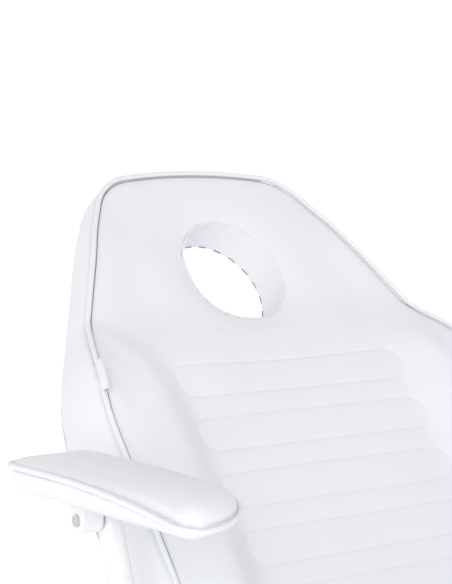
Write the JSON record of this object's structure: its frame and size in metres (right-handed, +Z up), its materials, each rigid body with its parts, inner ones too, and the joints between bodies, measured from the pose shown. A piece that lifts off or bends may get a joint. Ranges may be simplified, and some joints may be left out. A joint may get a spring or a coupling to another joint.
{
  "type": "facial treatment bed",
  "caption": "Padded facial treatment bed in three hinged sections with a face hole, ribbed and bolstered cushions, lifting armrests and a hydraulic swivel column on a round base.",
  "frame": {"origin": "on the floor under the centre of the column, at the middle of the base's underside", "axes": "+Z up, +Y towards the head end of the bed, +X towards the side on the client's left"},
  "size_m": [0.876, 1.4887, 1.1343],
  "materials": {
    "white_vinyl": "soft white coated vinyl upholstery, faint grain, satin",
    "birch_plywood": "raw birch plywood",
    "white_enamel": "white powder coat, fine orange peel",
    "black_enamel": "black gloss paint",
    "chrome_plate": "polished chrome plate",
    "zinc_steel": "bright zinc-plated steel",
    "black_rubber": "matt moulded rubber",
    "black_plastic": "satin moulded plastic"
  },
  "bodies": {
    "base": {"base_plate": "white_enamel", "base_foot_pad": "black_rubber", "pump_body": "white_enamel", "pump_bolts": "zinc_steel", "pump_collar": "chrome_plate", "pedal_bracket": "white_enamel", "pedal_pin": "zinc_steel"},
    "pedal": {"pedal_arm": "zinc_steel", "pedal_pad": "black_rubber"},
    "column_ram": {"ram": "chrome_plate"},
    "seat": {"swivel_hub": "white_enamel", "top_plate": "white_enamel", "top_plate_bolts": "zinc_steel", "seat_rail_left": "white_enamel", "seat_rail_right": "white_enamel", "seat_cross_rails": "white_enamel", "seat_mount_rails": "white_enamel", "seat_board": "birch_plywood", "seat_cushion": "white_vinyl", "seat_screws": "zinc_steel", "back_hinge_lugs": "white_enamel", "back_hinge_pins": "zinc_steel", "leg_hinge_lugs": "white_enamel", "leg_hinge_pins": "zinc_steel", "back_spring_bracket": "white_enamel", "leg_spring_bracket": "white_enamel", "arm_post_left": "white_enamel", "arm_post_right": "white_enamel", "arm_pins": "chrome_plate"},
    "swivel_lock": {"lock_lever": "zinc_steel", "lock_knob": "black_plastic"},
    "backrest": {"back_rail_left": "white_enamel", "back_rail_right": "white_enamel", "back_cross_rails": "white_enamel", "back_board": "birch_plywood", "back_cushion": "white_vinyl", "back_screws": "zinc_steel", "loop_tab": "white_vinyl", "back_spring_lug": "white_enamel", "back_spring_pin": "zinc_steel"},
    "back_spring_barrel": {"back_spring_tube": "black_enamel"},
    "back_spring_plunger": {"back_spring_rod": "chrome_plate"},
    "legrest": {"leg_rail_left": "white_enamel", "leg_rail_right": "white_enamel", "leg_cross_rails": "white_enamel", "leg_board": "birch_plywood", "leg_cushion": "white_vinyl", "leg_screws": "zinc_steel", "leg_spring_lug": "white_enamel", "leg_spring_pin": "zinc_steel"},
    "leg_spring_barrel": {"leg_spring_tube": "black_enamel"},
    "leg_spring_plunger": {"leg_spring_rod": "chrome_plate"},
    "armrest_left": {"arm_carrier_left": "white_enamel", "arm_pad_left": "white_vinyl"},
    "armrest_right": {"arm_carrier_right": "white_enamel", "arm_pad_right": "white_vinyl"},
    "back_release": {"back_release_lever": "zinc_steel", "back_release_grip": "black_plastic"},
    "leg_release": {"leg_release_lever": "zinc_steel", "leg_release_grip": "black_plastic"}
  },
  "joints": [
    {"name": "height_lift", "type": "slide", "parent": "base", "child": "column_ram", "axis": [0, 0, 1], "range_m": [0, 0.17]},
    {"name": "seat_swivel", "type": "hinge", "parent": "column_ram", "child": "seat", "pos_m": [0, 0, 0.458], "axis": [0, 0, 1], "continuous": true},
    {"name": "pedal_press", "type": "hinge", "parent": "base", "child": "pedal", "pos_m": [0, 0.078, 0.092], "axis": [-1, 0, 0], "range_deg": [0, 12], "stiffness_Nm_per_rad": 40, "springref_deg": -11.46},
    {"name": "lock_turn", "type": "hinge", "parent": "seat", "child": "swivel_lock", "pos_m": [0.044, 0, 0.458], "axis": [1, 0, 0], "range_deg": [-12, 35]},
    {"name": "backrest_tilt", "type": "hinge", "parent": "seat", "child": "backrest", "pos_m": [0, 0.255, 0.55], "axis": [1, 0, 0], "range_deg": [-52.5, 17.5]},
    {"name": "back_spring_swing", "type": "hinge", "parent": "seat", "child": "back_spring_barrel", "pos_m": [0.11, -0.06, 0.44], "axis": [1, 0, 0], "range_deg": [-1, 1]},
    {"name": "back_spring_slide", "type": "slide", "parent": "back_spring_barrel", "child": "back_spring_plunger", "axis": [0, 0.986, 0.1668], "range_m": [-0.06, 0.02]},
    {"name": "legrest_tilt", "type": "hinge", "parent": "seat", "child": "legrest", "pos_m": [0, -0.3, 0.536], "axis": [1, 0, 0], "range_deg": [-30, 40]},
    {"name": "leg_spring_swing", "type": "hinge", "parent": "seat", "child": "leg_spring_barrel", "pos_m": [-0.11, 0.06, 0.44], "axis": [1, 0, 0], "range_deg": [-1, 1]},
    {"name": "leg_spring_slide", "type": "slide", "parent": "leg_spring_barrel", "child": "leg_spring_plunger", "axis": [0, -0.9934, 0.1149], "range_m": [-0.05, 0.035]},
    {"name": "armrest_lift_left", "type": "hinge", "parent": "seat", "child": "armrest_left", "pos_m": [0.391, 0.3, 0.812], "axis": [-1, 0, 0], "range_deg": [0, 90]},
    {"name": "armrest_lift_right", "type": "hinge", "parent": "seat", "child": "armrest_right", "pos_m": [-0.391, 0.3, 0.812], "axis": [-1, 0, 0], "range_deg": [0, 90]},
    {"name": "back_release_pull", "type": "hinge", "parent": "seat", "child": "back_release", "pos_m": [0.226, 0.02, 0.515], "axis": [1, 0, 0], "range_deg": [0, 15], "stiffness_Nm_per_rad": 4, "springref_deg": -11.46},
    {"name": "leg_release_pull", "type": "hinge", "parent": "seat", "child": "leg_release", "pos_m": [-0.226, 0.02, 0.515], "axis": [1, 0, 0], "range_deg": [0, 15], "stiffness_Nm_per_rad": 4, "springref_deg": -11.46}
  ],
  "couplings": [
    {"joint": "back_spring_swing", "follows": "backrest_tilt", "ratio": -0.0148},
    {"joint": "back_spring_slide", "follows": "backrest_tilt", "m_per_rad": 0.05615},
    {"joint": "leg_spring_swing", "follows": "legrest_tilt", "ratio": 0.0023},
    {"joint": "leg_spring_slide", "follows": "legrest_tilt", "m_per_rad": -0.05711}
  ]
}
